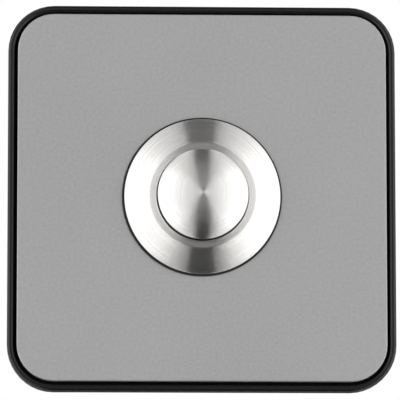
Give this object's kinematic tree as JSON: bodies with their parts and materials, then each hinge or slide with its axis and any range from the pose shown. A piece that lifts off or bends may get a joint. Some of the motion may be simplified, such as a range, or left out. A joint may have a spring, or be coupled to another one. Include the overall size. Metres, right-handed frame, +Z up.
{
  "type": "bell push",
  "caption": "Square wall bell push: black tray frame, satin metal plate, turned bezel and domed sprung button.",
  "frame": {"origin": "on the button's axis, in the wall's surface, midway between the two wall screw holes", "axes": "-Y out of the wall towards the visitor, +Y into the wall, +Z up, +X to the right as seen from the front"},
  "size_m": [0.062, 0.0349, 0.062],
  "materials": {
    "black_plastic": "satin",
    "satin_steel": "satin",
    "foam_tape": "matte",
    "black_rubber": "matte",
    "turned_steel": "turned",
    "turned_button": "turned",
    "pale_plastic": "satin",
    "spring_steel": "bright",
    "contact_brass": "satin",
    "contact_silver": "satin",
    "insulator": "satin",
    "zinc_steel": "satin",
    "nickel_nut": "satin"
  },
  "bodies": {
    "housing": {"base_frame": "black_plastic", "front_plate": "satin_steel", "adhesive_pads": "foam_tape", "bezel_gasket": "black_rubber", "switch_body": "turned_steel", "return_spring": "spring_steel", "contact_housing": "insulator", "terminal_base": "insulator", "fixed_contact_left": "contact_brass", "fixed_contact_right": "contact_brass", "fixed_tips": "contact_silver", "wire_clamp_left": "zinc_steel", "wire_clamp_right": "zinc_steel", "terminal_screw_left": "zinc_steel", "terminal_screw_right": "zinc_steel", "retaining_ring": "spring_steel", "lock_washer": "zinc_steel", "mounting_nut": "nickel_nut"},
    "button": {"button_cap": "turned_button", "button_seal": "black_rubber", "plunger": "pale_plastic", "moving_contact": "contact_brass", "moving_tips": "contact_silver", "contact_spring": "spring_steel"}
  },
  "joints": [
    {"name": "button_press", "type": "slide", "parent": "housing", "child": "button", "axis": [0, 1, 0], "range_m": [0, 0.0012], "stiffness_N_per_m": 1500, "springref_m": -0.0015, "deforming": ["return_spring"]}
  ]
}
